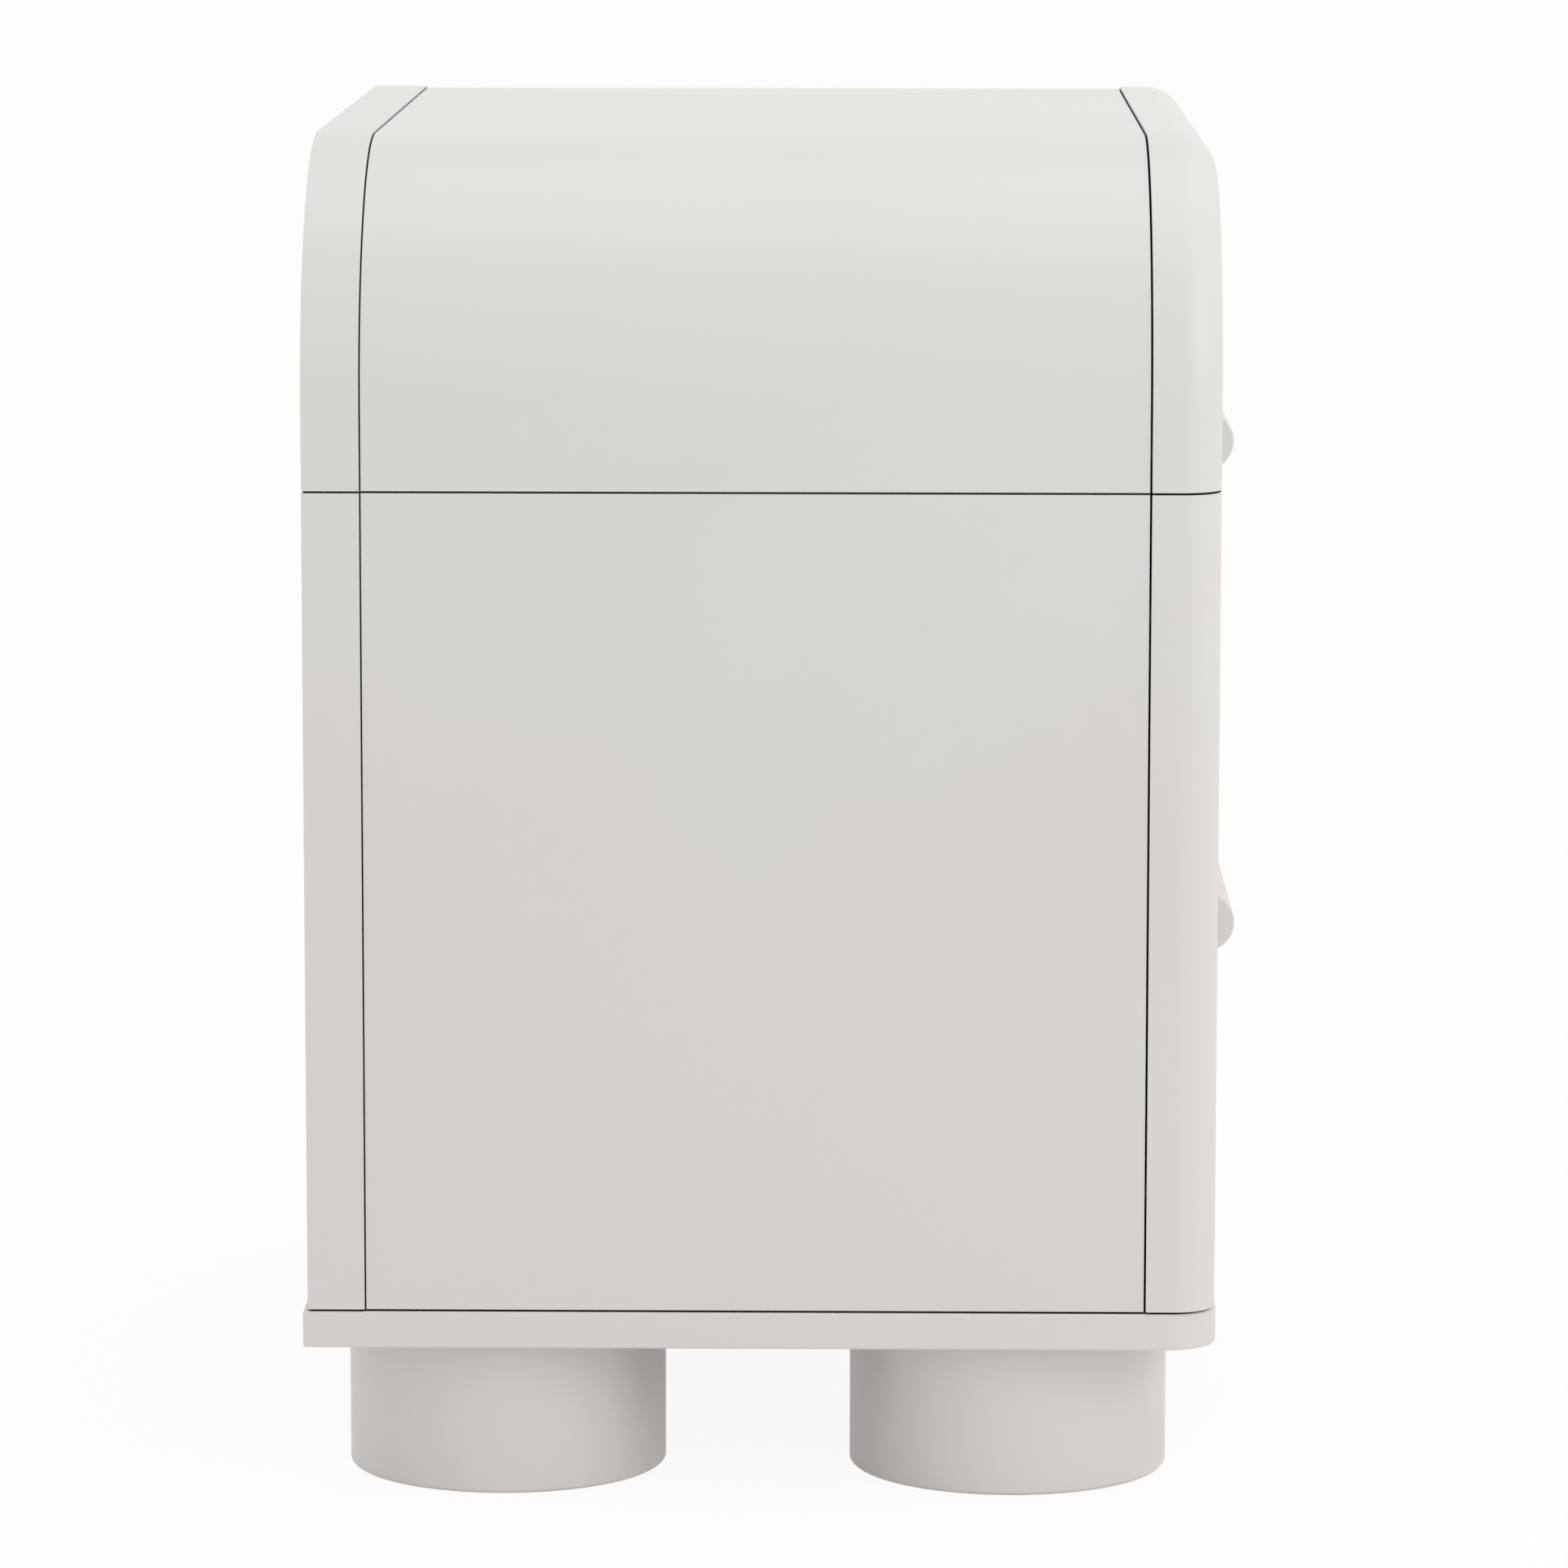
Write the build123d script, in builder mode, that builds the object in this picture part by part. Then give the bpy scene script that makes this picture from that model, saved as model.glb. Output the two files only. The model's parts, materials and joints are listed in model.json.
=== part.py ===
import os
from math import sqrt

from build123d import *

# Painted two-drawer cabinet on drum feet. The front faces -Y and the floor is z = 0.
# All sizes are in millimetres.

# overall size
cabinet_width = 682.0
cabinet_depth = 457.0
foot_height = 80.0
base_thickness = 18.5
lower_height = 411.5
upper_height = 170.0
shoulder_straight = 44.0  # upright wall of the upper module below its curved shoulder

# boards
board = 18.0
front_thickness = 35.0
back_thickness = 28.5
box_board = 12.0
thin_board = 6.0  # drawer bottoms and back panels
front_edge_radius = 20.0
base_corner_radius = 26.0
arris = 0.8  # eased edges of the base plate and the pulls

# shadow gaps and setbacks that show on the outside
reveal = 1.0
back_reveal = 0.75  # between the skin and the back slabs
reveal_depth = 4.0
panel_recess = 1.0  # side and top skin behind the outline of the front and back slabs
front_setback = 0.9  # drawer fronts behind the front edge of the base plate
back_setback = 2.4  # back slabs inside the rear edge of the base plate

# drum feet
foot_radius = 81.0
foot_edge = 1.5
foot_side_inset = 20.0
foot_front_inset = 22.0
foot_rear_inset = 16.5
glide_thickness = 2.5
glide_proud = 0.5  # of the felt glide below the foot that it is let into
glide_inset = 8.0
glide_clearance = 0.2

# drawer pulls, a round bar cut flat where it meets the drawer front
pull_radius = 15.0
pull_projection = 10.2
lower_pull_length = 560.0
upper_pull_length = 450.0
lower_pull_height = 188.5  # centre of the bar above the base plate
cove_radius = 4.5
cove_offset = 2.0  # centre of the finger cove in front of the drawer face
cove_end = 30.0

# drawer boxes
box_back_clearance = 30.2  # free depth between the boxes and the back frames
lower_box_lift = 14.0
lower_box_headroom = 36.0
shoulder_clearance = 2.0
bottom_lift = 8.0
screw_cover = 3.0  # from the groove of the bottom up to the upper slide screws
groove_depth = 6.0
groove_clearance = 0.2
pin_width = 7.0
pin_slope = 1 / 7
pin_pitch = 32.0

# telescopic drawer slides, each a nest of rolled channels
slide_thickness = 12.7
slide_setback = 3.0
slide_tail = 6.0  # rear ends of the slides in front of the backs of the boxes
upper_slide_height = 35.0
lower_slide_height = 45.0
lower_slide_lift = 60.0  # centre of the lower slides above the bottom of the box
slide_gauge = 1.2
cage_gauge = 0.6
ball_gap = 2.2
ball_clearance = 0.15
cage_length = 150.0
outer_lip = 9.0
middle_lip = 10.4
inner_lip = 4.6  # free edge of the inner channel, measured from the wall

# back frames
stile_width = 46.0
back_rebate = 11.0
back_panel_recess = 3.0

# fasteners
fastener_clearance = 0.15
fastener_facets = 8  # screws, bolts, dowels and their holes are drawn eight-sided
row_count = 3  # fasteners in a row
row_margin = 1 / 8  # from the end of a row to its first fastener, as a share of the row
bolt_radius = 5.0
bolt_head_radius = 8.5
bolt_head_height = 6.4
bolt_head_depth = 1.0
bolt_length = 45.0
insert_radius = 8.0
insert_length = 30.0
side_screw_radius = 3.2
side_screw_head_radius = 5.0
side_screw_head_height = 4.0
side_screw_length = 50.0
frame_screw_radius = 2.5
frame_screw_head_radius = 4.5
frame_screw_head_height = 4.0
frame_screw_length = 54.0
panel_screw_radius = 1.75
panel_screw_head_radius = 3.5
panel_screw_head_height = 1.8
panel_screw_length = 18.0
wood_screw_radius = 2.0
wood_screw_head_radius = 3.5
wood_screw_head_height = 2.4
front_screw_reach = 20.0
front_screw_spread = 2 / 3  # of the half width of the box
front_screw_levels = (0.4, 0.8)  # of the height of the box
pull_screw_reach = 6.0
pull_screw_drop = 1.0  # below the centre of the bar
slide_screw_radius = 1.75
slide_screw_head_radius = 3.4
slide_wall_reach = 13.0
slide_box_reach = 9.0
dowel_radius = 4.0
dowel_length = 30.0
dowel_reach = 12.0  # depth of the shelf dowels in the sides
drill_room = 1.0  # free depth past the end of a fastener

# levels up from the floor
z_base = foot_height
z_deck = z_base + base_thickness
z_seam = z_deck + lower_height
z_top = z_seam + upper_height
half_reveal = reveal / 2
shelf_bottom = z_seam - board

# places from front to back
overall_depth = cabinet_depth - front_setback + pull_projection
y_face = pull_projection - overall_depth / 2
y_base_front = y_face - front_setback
y_base_back = overall_depth / 2
y_back = y_base_back - back_setback
y_back_joint = y_back - back_thickness
y_front_joint = y_face + front_thickness
y_carcass = y_front_joint + reveal
carcass_depth = y_back_joint - y_carcass
y_box_back = y_back_joint - box_back_clearance
box_depth = y_box_back - y_front_joint
slide_y = y_carcass + slide_setback
slide_length = y_box_back - slide_tail - slide_y

# places from the middle outwards
half_width = cabinet_width / 2
skin_half = half_width - panel_recess
inner_half = skin_half - board
board_middle = skin_half - board / 2
box_half = inner_half - slide_thickness
box_inner_half = box_half - box_board
shoulder_radius = upper_height - shoulder_straight
skin_radius = shoulder_radius - panel_recess
inner_radius = skin_radius - board
skin_top = z_top - panel_recess

sides = (("left", -1), ("right", 1))

os.makedirs("parts", exist_ok=True)


def save(piece, name):
    piece.part.label = name
    export_step(piece.part, f"parts/{name}.step")


def spread(start, length, margin):
    # evenly spaced places along a length, the outer ones a margin from its ends
    step = (length - 2 * margin) / (row_count - 1)
    return [start + margin + step * i for i in range(row_count)]


def seats(points, direction):
    # planes under the heads of a set of fasteners, looking the way they are driven
    return [Plane(origin=point, z_dir=direction) for point in points]


def bar(radius, length):
    with BuildPart() as prism:
        with BuildSketch():
            RegularPolygon(radius, fastener_facets)
        extrude(amount=length)
    return prism.part


def drill(planes, radius, depth):
    # holes from the seats forwards
    with Locations(*planes):
        add(bar(radius + fastener_clearance, depth), mode=Mode.SUBTRACT)


def sink(planes, radius, depth):
    # pockets for the heads, from the seats backwards
    with Locations(*planes):
        add(bar(radius + fastener_clearance, -depth), mode=Mode.SUBTRACT)


def fasteners(name, planes, head_radius, head_height, shank_radius, length):
    with BuildPart() as group:
        with Locations(*planes):
            add(bar(head_radius, -head_height))
            add(bar(shank_radius, length))
    save(group, name)


def arch(half, bottom, top, radius):
    # upright outline with both upper corners rounded
    with BuildSketch() as outline:
        with Locations((0, (bottom + top) / 2)):
            Rectangle(2 * half, top - bottom)
        fillet(outline.vertices().group_by(Axis.Y)[-1], radius)
    return outline.sketch


# Seats of the fasteners, shared by the boards that they hold
glide_radius = foot_radius - glide_inset
foot_x = half_width - foot_side_inset - foot_radius
foot_front_y = y_base_front + foot_front_inset + foot_radius
foot_rear_y = y_base_back - foot_rear_inset - foot_radius
foot_places = {
    "front_left": (-foot_x, foot_front_y),
    "front_right": (foot_x, foot_front_y),
    "rear_left": (-foot_x, foot_rear_y),
    "rear_right": (foot_x, foot_rear_y),
}
bolt_z = z_deck - bolt_head_depth - bolt_head_height
bolt_seats = seats([(x, y, bolt_z) for x, y in foot_places.values()], (0, 0, -1))
insert_seats = seats([(x, y, z_base) for x, y in foot_places.values()], (0, 0, -1))

joint_places = spread(y_carcass, carcass_depth, carcass_depth * row_margin)
shelf_places = [(a + b) / 2 for a, b in zip(joint_places, joint_places[1:])]
side_screw_z = z_base + side_screw_head_height
side_screw_seats = {
    side: seats([(side * board_middle, y, side_screw_z) for y in joint_places], (0, 0, 1))
    for _, side in sides
}
hood_dowel_seats = {
    side: seats([(side * board_middle, y, z_seam - dowel_length / 2) for y in joint_places], (0, 0, 1))
    for _, side in sides
}
shelf_dowel_x = inner_half + dowel_reach
shelf_dowel_seats = {
    side: seats([(side * shelf_dowel_x, y, z_seam - board / 2) for y in shelf_places], (-side, 0, 0))
    for _, side in sides
}

frame_screw_y = y_back - frame_screw_head_height
lower_frame_z = spread(z_deck, lower_height, lower_height * row_margin)
lower_frame_seats = {
    side: seats([(side * board_middle, frame_screw_y, z) for z in lower_frame_z], (0, -1, 0))
    for _, side in sides
}
hood_wall_z = z_seam + shoulder_straight / 2
hood_frame_points = [(side * board_middle, frame_screw_y, hood_wall_z) for _, side in sides]
hood_frame_points += [(side * half_width / 2, frame_screw_y, skin_top - board / 2) for _, side in sides]
hood_frame_seats = seats(hood_frame_points, (0, -1, 0))

upper_slide_z = z_seam + shoulder_straight - upper_slide_height / 2
lower_box_z = z_deck + lower_box_lift
lower_slide_z = lower_box_z + lower_slide_lift
slide_screw_y = spread(slide_y, slide_length, slide_length * row_margin)


def wall_seats(side, z):
    return seats([(side * inner_half, y, z) for y in slide_screw_y], (side, 0, 0))


def box_seats(side, z):
    return seats([(side * box_half, y, z) for y in slide_screw_y], (-side, 0, 0))


# Drum feet, turned solid, with a threaded insert in the top for the bolt through the base plate
# and a felt glide let into the underside
for i, (place, centre) in enumerate(foot_places.items()):
    with BuildPart() as foot:
        with BuildSketch(Plane.XY.offset(glide_proud)):
            with Locations(centre):
                Circle(foot_radius)
        extrude(amount=foot_height - glide_proud)
        chamfer(foot.faces().sort_by(Axis.Z)[0].edges(), foot_edge)
        with BuildSketch(Plane.XY.offset(glide_proud)):
            with Locations(centre):
                Circle(glide_radius + glide_clearance)
        extrude(amount=glide_thickness - glide_proud, mode=Mode.SUBTRACT)
        drill([insert_seats[i]], insert_radius, insert_length)
        drill([bolt_seats[i]], bolt_radius, bolt_length + drill_room)
    save(foot, f"{place}_foot")

with BuildPart() as foot_inserts:
    with Locations(*insert_seats):
        add(bar(insert_radius, insert_length))
    drill(bolt_seats, bolt_radius, bolt_length + drill_room)
save(foot_inserts, "foot_inserts")

fasteners("foot_bolts", bolt_seats, bolt_head_radius, bolt_head_height, bolt_radius, bolt_length)

with BuildPart() as foot_glides:
    with BuildSketch():
        with Locations(*foot_places.values()):
            Circle(glide_radius)
    extrude(amount=glide_thickness)
save(foot_glides, "foot_glides")

# Base plate, rounded at its two front corners
with BuildPart() as base_plate:
    with BuildSketch(Plane.XY.offset(z_base)) as outline:
        with Locations((0, (y_base_front + y_base_back) / 2)):
            Rectangle(cabinet_width, cabinet_depth)
        fillet(outline.vertices().group_by(Axis.Y)[0], base_corner_radius)
    extrude(amount=base_thickness)
    chamfer(faces().filter_by(Axis.Z).edges(), arris)
    sink(bolt_seats, bolt_head_radius, bolt_head_height + bolt_head_depth)
    drill(bolt_seats, bolt_radius, base_thickness)
    for _, side in sides:
        sink(side_screw_seats[side], side_screw_head_radius, side_screw_head_height)
        drill(side_screw_seats[side], side_screw_radius, base_thickness)
save(base_plate, "base_plate")

# Sides of the lower module, rebated on the outside to leave the shadow gaps
for name, side in sides:
    neck = skin_half - reveal_depth
    with BuildPart() as lower_side:
        with BuildSketch(Plane.XY.offset(z_deck + reveal)):
            Polygon(
                (side * inner_half, y_carcass),
                (side * skin_half, y_carcass),
                (side * skin_half, y_back_joint - back_reveal),
                (side * neck, y_back_joint - back_reveal),
                (side * neck, y_back_joint),
                (side * inner_half, y_back_joint),
                align=None,
            )
        extrude(amount=lower_height - reveal - half_reveal)
        with BuildSketch(Plane.XY.offset(z_deck)):
            with Locations((side * (inner_half + neck) / 2, (y_carcass + y_back_joint) / 2)):
                Rectangle(neck - inner_half, carcass_depth)
        extrude(amount=lower_height)
        drill(side_screw_seats[side], side_screw_radius, side_screw_length + drill_room)
        drill(hood_dowel_seats[side], dowel_radius, dowel_length)
        sink(shelf_dowel_seats[side], dowel_radius, drill_room)
        drill(shelf_dowel_seats[side], dowel_radius, dowel_length)
        drill(lower_frame_seats[side], frame_screw_radius, frame_screw_length + drill_room)
        drill(wall_seats(side, lower_slide_z), slide_screw_radius, slide_wall_reach + drill_room)
    save(lower_side, f"lower_{name}_side")

# Shelf between the two drawers, held by dowels in the sides
with BuildPart() as shelf:
    with BuildSketch(Plane.XY.offset(shelf_bottom)):
        with Locations((0, (y_carcass + y_back_joint) / 2)):
            Rectangle(2 * inner_half, carcass_depth)
    extrude(amount=board)
    for _, side in sides:
        drill(shelf_dowel_seats[side], dowel_radius, dowel_length + drill_room)
save(shelf, "shelf")

# Bent skin of the upper module: two upright walls, two shoulders and the top in one board
with BuildPart() as hood_shell:
    for y_start, run, inset in (
        (y_back_joint - back_reveal, carcass_depth - back_reveal, 0),
        (y_back_joint, back_reveal, reveal_depth),
    ):
        with BuildSketch(Plane.XZ.offset(-y_start)):
            add(arch(skin_half - inset, z_seam, skin_top - inset, skin_radius - inset))
            add(arch(inner_half, z_seam, skin_top - board, inner_radius), mode=Mode.SUBTRACT)
            with Locations(*[(side * skin_half, z_seam) for _, side in sides]):
                Rectangle(2 * reveal_depth, reveal, mode=Mode.SUBTRACT)
        extrude(amount=run)
    for _, side in sides:
        drill(hood_dowel_seats[side], dowel_radius, dowel_length + drill_room)
        drill(wall_seats(side, upper_slide_z), slide_screw_radius, slide_wall_reach + drill_room)
    drill(hood_frame_seats, frame_screw_radius, frame_screw_length + drill_room)
save(hood_shell, "hood_shell")

# Back frames, each with a thin panel screwed into a rebate behind
y_panel_back = y_back - back_panel_recess
neck_half = half_width - reveal_depth
neck_depth = back_thickness - reveal_depth
lower_window_half = half_width - stile_width
lower_window_bottom = z_deck + stile_width
lower_window_top = z_seam - stile_width
upper_window_bottom = z_seam + stile_width
upper_window_top = z_top - stile_width
window_radius = (shoulder_radius - stile_width) / 2
rebate_half = lower_window_half + back_rebate
panel_half = rebate_half - groove_clearance

panel_screw_inset = back_rebate / 2
lower_panel_x = spread(-rebate_half, 2 * rebate_half, panel_screw_inset)
lower_panel_rows = (
    lower_window_bottom - back_rebate + panel_screw_inset,
    lower_window_top + back_rebate - panel_screw_inset,
)
upper_panel_x = spread(-lower_window_half, 2 * lower_window_half, shoulder_radius)
upper_panel_rows = (
    upper_window_bottom - back_rebate + panel_screw_inset,
    upper_window_top + back_rebate - panel_screw_inset,
)
lower_panel_points = [(x, y_panel_back, z) for z in lower_panel_rows for x in lower_panel_x]
upper_panel_points = [(x, y_panel_back, z) for z in upper_panel_rows for x in upper_panel_x]
lower_panel_seats = seats(lower_panel_points, (0, -1, 0))
upper_panel_seats = seats(upper_panel_points, (0, -1, 0))

with BuildPart() as lower_back_frame:
    with BuildSketch(Plane.XZ.offset(-y_back)):
        with Locations((0, (z_deck + reveal + z_seam - half_reveal) / 2)):
            Rectangle(cabinet_width, lower_height - reveal - half_reveal)
    extrude(amount=back_thickness)
    with BuildSketch(Plane.XZ.offset(-y_back_joint - neck_depth)):
        with Locations((0, (z_deck + z_seam) / 2)):
            Rectangle(2 * neck_half, lower_height)
    extrude(amount=neck_depth)
    with BuildSketch(Plane.XZ.offset(-y_back)):
        with Locations((0, (lower_window_bottom + lower_window_top) / 2)):
            Rectangle(2 * lower_window_half, lower_window_top - lower_window_bottom)
    extrude(amount=back_thickness, mode=Mode.SUBTRACT)
    with BuildSketch(Plane.XZ.offset(-y_back)):
        with Locations((0, (lower_window_bottom + lower_window_top) / 2)):
            Rectangle(2 * rebate_half, lower_window_top - lower_window_bottom + 2 * back_rebate)
    extrude(amount=back_panel_recess + thin_board, mode=Mode.SUBTRACT)
    for _, side in sides:
        sink(lower_frame_seats[side], frame_screw_head_radius, frame_screw_head_height)
        drill(lower_frame_seats[side], frame_screw_radius, back_thickness)
    drill(lower_panel_seats, panel_screw_radius, panel_screw_length + drill_room)
save(lower_back_frame, "lower_back_frame")

with BuildPart() as lower_back_panel:
    with BuildSketch(Plane.XZ.offset(-y_panel_back)):
        with Locations((0, (lower_window_bottom + lower_window_top) / 2)):
            Rectangle(
                2 * panel_half,
                lower_window_top - lower_window_bottom + 2 * (back_rebate - groove_clearance),
            )
    extrude(amount=thin_board)
    drill(lower_panel_seats, panel_screw_radius, thin_board)
save(lower_back_panel, "lower_back_panel")

with BuildPart() as upper_back_frame:
    with BuildSketch(Plane.XZ.offset(-y_back)):
        add(arch(half_width, z_seam + half_reveal, z_top, shoulder_radius))
    extrude(amount=back_thickness)
    with BuildSketch(Plane.XZ.offset(-y_back_joint - neck_depth)):
        with Locations((0, z_seam + shoulder_straight / 2)):
            Rectangle(2 * neck_half, shoulder_straight)
    extrude(amount=neck_depth)
    with BuildSketch(Plane.XZ.offset(-y_back)):
        add(arch(lower_window_half, upper_window_bottom, upper_window_top, window_radius))
    extrude(amount=back_thickness, mode=Mode.SUBTRACT)
    with BuildSketch(Plane.XZ.offset(-y_back)):
        add(
            arch(
                rebate_half,
                upper_window_bottom - back_rebate,
                upper_window_top + back_rebate,
                window_radius + back_rebate,
            )
        )
    extrude(amount=back_panel_recess + thin_board, mode=Mode.SUBTRACT)
    sink(hood_frame_seats, frame_screw_head_radius, frame_screw_head_height)
    drill(hood_frame_seats, frame_screw_radius, back_thickness)
    drill(upper_panel_seats, panel_screw_radius, panel_screw_length + drill_room)
save(upper_back_frame, "upper_back_frame")

with BuildPart() as upper_back_panel:
    with BuildSketch(Plane.XZ.offset(-y_panel_back)):
        add(
            arch(
                panel_half,
                upper_window_bottom - back_rebate + groove_clearance,
                upper_window_top + back_rebate - groove_clearance,
                window_radius + back_rebate - groove_clearance,
            )
        )
    extrude(amount=thin_board)
    drill(upper_panel_seats, panel_screw_radius, thin_board)
save(upper_back_panel, "upper_back_panel")

# Carcass fasteners
fasteners(
    "side_screws",
    side_screw_seats[-1] + side_screw_seats[1],
    side_screw_head_radius,
    side_screw_head_height,
    side_screw_radius,
    side_screw_length,
)
fasteners(
    "frame_screws",
    lower_frame_seats[-1] + lower_frame_seats[1] + hood_frame_seats,
    frame_screw_head_radius,
    frame_screw_head_height,
    frame_screw_radius,
    frame_screw_length,
)
fasteners(
    "panel_screws",
    lower_panel_seats + upper_panel_seats,
    panel_screw_head_radius,
    panel_screw_head_height,
    panel_screw_radius,
    panel_screw_length,
)
fasteners(
    "slide_wall_screws",
    [seat for _, side in sides for z in (lower_slide_z, upper_slide_z) for seat in wall_seats(side, z)],
    slide_screw_head_radius,
    slide_gauge,
    slide_screw_radius,
    slide_wall_reach,
)
for name, places in (("hood_dowels", hood_dowel_seats), ("shelf_dowels", shelf_dowel_seats)):
    with BuildPart() as dowels:
        with Locations(*places[-1], *places[1]):
            add(bar(dowel_radius, dowel_length))
    save(dowels, name)


# Telescopic slides. Distances across a slide are measured from the wall inwards.
def channel(side, z, half_height, web, flange, gauge, y_start, length):
    # rolled channel: an upright web and two flanges, running front to back
    with BuildPart() as rolled:
        with BuildSketch(Plane.XZ.offset(-y_start - length)):
            with Locations((side * (inner_half - sum(web) / 2), z)):
                Rectangle(web[1] - web[0], 2 * half_height)
            flange_x = side * (inner_half - sum(flange) / 2)
            flange_z = half_height - gauge / 2
            with Locations((flange_x, z - flange_z), (flange_x, z + flange_z)):
                Rectangle(flange[1] - flange[0], gauge)
        extrude(amount=length)
    return rolled


cage_flange = ball_gap - 2 * ball_clearance
outer_cage_web = slide_gauge + ball_clearance
middle_web = outer_cage_web + cage_gauge + ball_clearance
inner_cage_web = middle_web + slide_gauge + ball_clearance
inner_web = slide_thickness - slide_gauge
cage_y = slide_y + (slide_length - cage_length) / 2

slide_sets = (
    ("upper", upper_slide_z, upper_slide_height / 2),
    ("lower", lower_slide_z, lower_slide_height / 2),
)
for level, z, outer_half in slide_sets:
    outer_cage_half = outer_half - slide_gauge - ball_clearance
    middle_half = outer_half - slide_gauge - ball_gap
    inner_cage_half = middle_half - slide_gauge - ball_clearance
    inner_slide_half = middle_half - slide_gauge - ball_gap
    for name, side in sides:
        outer_web = (0, slide_gauge)
        outer_run = (0, outer_lip)
        outer = channel(side, z, outer_half, outer_web, outer_run, slide_gauge, slide_y, slide_length)
        with outer:
            sink(wall_seats(side, z), slide_screw_head_radius, slide_gauge)
        save(outer, f"{level}_{name}_slide_outer")

        web = (middle_web, middle_web + slide_gauge)
        run = (middle_web, middle_lip)
        middle = channel(side, z, middle_half, web, run, slide_gauge, slide_y, slide_length)
        save(middle, f"{level}_{name}_slide_middle")

        web = (inner_web, slide_thickness)
        run = (inner_lip, slide_thickness)
        inner = channel(side, z, inner_slide_half, web, run, slide_gauge, slide_y, slide_length)
        with inner:
            sink(box_seats(side, z), slide_screw_head_radius, slide_gauge)
        save(inner, f"{level}_{name}_slide_inner")

    # ball cages, left and right together
    for name, start, lip, half in (
        ("outer", outer_cage_web, outer_lip, outer_cage_half),
        ("inner", inner_cage_web, middle_lip, inner_cage_half),
    ):
        web = (start, start + cage_gauge)
        run = (start, lip - ball_clearance)
        with BuildPart() as cages:
            for _, side in sides:
                add(channel(side, z, half, web, run, cage_flange, cage_y, cage_length).part)
        save(cages, f"{level}_{name}_cages")


# Drawers
def pin_outlines(bottom, height, y_end, y_line):
    # dovetail pins on the end of a board, narrow at y_end, wide at y_line, halved at the edges
    count = max(2, round(height / pin_pitch))
    flare = pin_width / 2 + abs(y_line - y_end) * pin_slope
    outlines = []
    for i in range(count + 1):
        middle = bottom + height * i / count
        low, high = max(middle - pin_width / 2, bottom), min(middle + pin_width / 2, bottom + height)
        wide_low, wide_high = max(middle - flare, bottom), min(middle + flare, bottom + height)
        outlines.append(((y_end, low), (y_end, high), (y_line, wide_high), (y_line, wide_low)))
    return outlines


shoulder_rise = sqrt(inner_radius**2 - (inner_radius - slide_thickness + shoulder_clearance) ** 2)
upper_box_z = upper_slide_z - bottom_lift - thin_board - groove_clearance - screw_cover
upper_box_height = z_seam + shoulder_straight + shoulder_rise - upper_box_z
lower_box_height = shelf_bottom - lower_box_headroom - lower_box_z
y_box_inner_front = y_front_joint + box_board
y_box_inner_back = y_box_back - box_board
y_box_middle = (y_front_joint + y_box_back) / 2

pull_sink = pull_radius - pull_projection
pull_half_chord = sqrt(pull_radius**2 - pull_sink**2)
upper_pull_z = z_seam + half_reveal + pull_half_chord
lower_pull_z = z_deck + lower_pull_height

with BuildPart() as upper_front:
    with BuildSketch(Plane.XZ.offset(-y_front_joint)):
        add(arch(half_width, z_seam + half_reveal, z_top, shoulder_radius))
    extrude(amount=front_thickness)
    rim = upper_front.faces().sort_by(Axis.Y)[0].edges().sort_by(Axis.Z)[1:]
    fillet(rim, front_edge_radius)

with BuildPart() as lower_front:
    with BuildSketch(Plane.XZ.offset(-y_front_joint)):
        with Locations((0, (z_deck + reveal + z_seam - half_reveal) / 2)):
            Rectangle(cabinet_width, lower_height - reveal - half_reveal)
    extrude(amount=front_thickness)
    rim = lower_front.faces().sort_by(Axis.Y)[0].edges().filter_by(Axis.Z)
    fillet(rim, front_edge_radius)

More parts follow.
